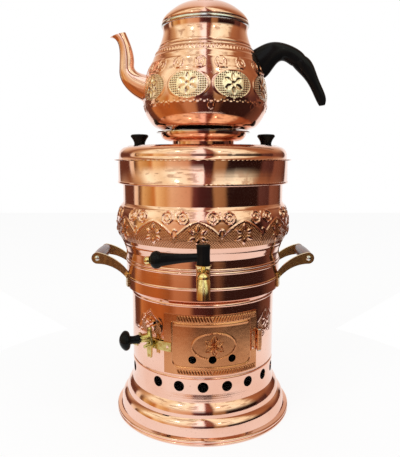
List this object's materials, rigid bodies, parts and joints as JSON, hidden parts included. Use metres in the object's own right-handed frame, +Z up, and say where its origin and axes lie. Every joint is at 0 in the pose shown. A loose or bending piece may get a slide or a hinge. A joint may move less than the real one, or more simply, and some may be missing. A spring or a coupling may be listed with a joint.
{
  "type": "samovar",
  "caption": "Copper samovar with a fire door and latch, a lever tap, side handles, a lift-off lid and crown, and a chased teapot with spout, horn handle and lid on top.",
  "frame": {"origin": "centre of the foot's rim on the table", "axes": "+Z up through the flue and the teapot, -Y towards the tap, -X towards the teapot's spout"},
  "size_m": [0.2727, 0.2445, 0.4998],
  "materials": {
    "copper": "polished copper, spun and chased",
    "brass": "polished brass",
    "aged_brass": "cast brass, darkened",
    "tin": "tinned copper",
    "tinned_sheet": "dull tinned sheet",
    "steel": "bright steel",
    "black_knob": "glossy black",
    "grip_wood": "dark red lacquered wood",
    "washer_rubber": "black rubber",
    "grate_iron": "sooty cast iron"
  },
  "bodies": {
    "samovar": {"foot": "copper", "ash_floor": "tinned_sheet", "firebox_shell": "copper", "grate": "grate_iron", "tank_floor": "tinned_sheet", "tank_shell": "copper", "tank_collar": "copper", "flue": "tinned_sheet", "arm_right_front": "aged_brass", "arm_right_back": "aged_brass", "arm_left_front": "aged_brass", "arm_left_back": "aged_brass", "grip_right": "grip_wood", "grip_left": "grip_wood", "grip_screws": "steel", "arm_rivets": "copper", "tap_body": "brass", "tap_washer": "washer_rubber", "tap_nut": "brass", "hinge_body_leaf": "copper", "hinge_body_rivets": "copper", "hinge_pin": "steel", "latch_keeper": "brass", "keeper_rivet": "copper"},
    "door": {"fire_door": "copper", "hinge_door_leaf": "copper", "door_rivets": "copper", "latch_strap": "brass", "latch_stud": "brass"},
    "latch": {"latch_bar": "brass", "latch_knob": "black_knob"},
    "tap": {"tap_plug": "brass", "tap_handle": "black_knob", "lever_tip": "brass", "plug_washer": "brass", "plug_nut": "brass"},
    "lid": {"tank_lid": "copper", "lid_knob_left": "black_knob", "lid_knob_right": "black_knob", "lid_knob_screws": "steel"},
    "crown_set": {"crown": "copper", "crown_rim": "tin"},
    "pot": {"teapot_body": "copper", "teapot_rim": "tin", "teapot_spout": "copper", "teapot_handle": "black_knob", "teapot_handle_screws": "steel"},
    "pot_lid": {"teapot_lid": "copper", "finial": "copper", "finial_screw": "steel"}
  },
  "joints": [
    {"name": "door_hinge", "type": "hinge", "parent": "samovar", "child": "door", "pos_m": [0.06238, -0.0646, 0.104], "axis": [0, 0, 1], "range_deg": [0, 110]},
    {"name": "latch_turn", "type": "hinge", "parent": "door", "child": "latch", "pos_m": [-0.05664, -0.06994, 0.101], "axis": [-0.6293, -0.7771, 0], "range_deg": [0, 90]},
    {"name": "tap_turn", "type": "hinge", "parent": "samovar", "child": "tap", "pos_m": [0, -0.1185, 0.1905], "axis": [0, 0, 1], "range_deg": [0, 90]},
    {"name": "lid_lift", "type": "slide", "parent": "samovar", "child": "lid", "axis": [0, 0, 1], "range_m": [0, 0.08]},
    {"name": "crown_lift", "type": "slide", "parent": "lid", "child": "crown_set", "axis": [0, 0, 1], "range_m": [0, 0.06]},
    {"name": "pot_lift", "type": "slide", "parent": "crown_set", "child": "pot", "axis": [0, 0, 1], "range_m": [0, 0.12]},
    {"name": "pot_lid_lift", "type": "slide", "parent": "pot", "child": "pot_lid", "axis": [0, 0, 1], "range_m": [0, 0.06]}
  ]
}
